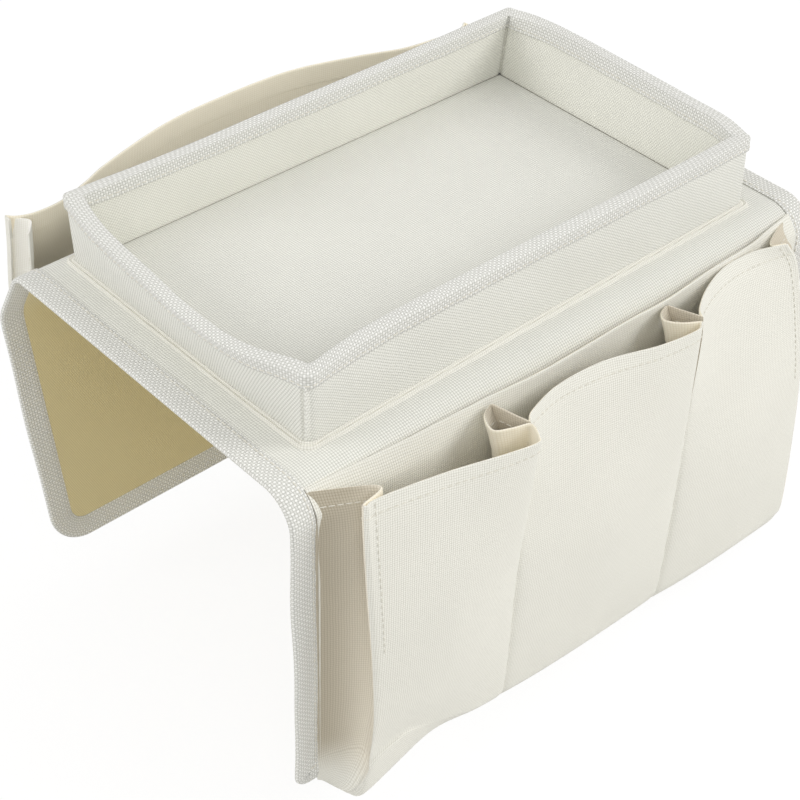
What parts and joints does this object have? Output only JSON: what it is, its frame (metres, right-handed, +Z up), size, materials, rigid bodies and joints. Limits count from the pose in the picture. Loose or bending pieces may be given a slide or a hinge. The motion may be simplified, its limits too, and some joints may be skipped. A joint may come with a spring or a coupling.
{
  "type": "sofa arm tray",
  "caption": "Cloth saddle that hangs over a sofa arm, with a walled tray on top, tablet and organizer pockets on one flap and a magazine pocket on the other.",
  "frame": {"origin": "centre of the tray, on the underside of the saddle's top where it rests on the sofa arm", "axes": "+X along the sofa arm and the tray's long side, +Y across the arm to the flap with the magazine pocket, +Z up"},
  "size_m": [0.36, 0.3166, 0.2441],
  "materials": {
    "oxford_cloth": "off-white coated plain-weave polyester with a fine canvas grain",
    "lining_cloth": "beige coated back of the cloth, smoother and darker than the face",
    "binding_tape": "off-white woven tape with a coarse grain, folded over the edge and stitched",
    "stiffener_board": "thin flat plastic board hidden inside the cloth"
  },
  "bodies": {
    "saddle": {"saddle_top_cloth": "oxford_cloth", "saddle_top_lining": "lining_cloth", "saddle_top_binding": "binding_tape", "near_bend_cloth": "oxford_cloth", "near_bend_lining": "lining_cloth", "near_bend_binding": "binding_tape", "far_bend_cloth": "oxford_cloth", "far_bend_lining": "lining_cloth", "far_bend_binding": "binding_tape", "tray_outer_wall_cloth": "oxford_cloth", "tray_inner_wall_cloth": "oxford_cloth", "tray_wall_board_near": "stiffener_board", "tray_wall_board_far": "stiffener_board", "tray_wall_board_left": "stiffener_board", "tray_wall_board_right": "stiffener_board", "tray_floor_board": "stiffener_board", "tray_floor_cloth": "oxford_cloth", "tray_rim_binding": "binding_tape", "tray_base_flange": "oxford_cloth"},
    "near_flap": {"near_flap_cloth": "oxford_cloth", "near_flap_lining": "lining_cloth", "near_flap_binding": "binding_tape", "tablet_pocket_panel": "oxford_cloth", "tablet_pocket_hem": "lining_cloth", "organizer_pocket_left": "oxford_cloth", "organizer_pocket_middle": "oxford_cloth", "organizer_pocket_right": "oxford_cloth"},
    "far_flap": {"far_flap_cloth": "oxford_cloth", "far_flap_lining": "lining_cloth", "far_flap_binding": "binding_tape", "magazine_pocket_panel": "oxford_cloth", "magazine_pocket_hem": "lining_cloth", "magazine_pocket_gusset_left": "oxford_cloth", "magazine_pocket_gusset_right": "oxford_cloth"}
  },
  "joints": [
    {"name": "near_flap_fold", "type": "hinge", "parent": "saddle", "child": "near_flap", "pos_m": [0, -0.113, -0.0027], "axis": [-1, 0, 0], "range_deg": [-20, 90], "deforming": ["near_bend_cloth", "near_bend_lining", "near_bend_binding"]},
    {"name": "far_flap_fold", "type": "hinge", "parent": "saddle", "child": "far_flap", "pos_m": [0, 0.0997, 0.0001], "axis": [1, 0, 0], "range_deg": [-12, 75], "deforming": ["far_bend_cloth", "far_bend_lining", "far_bend_binding"]}
  ]
}
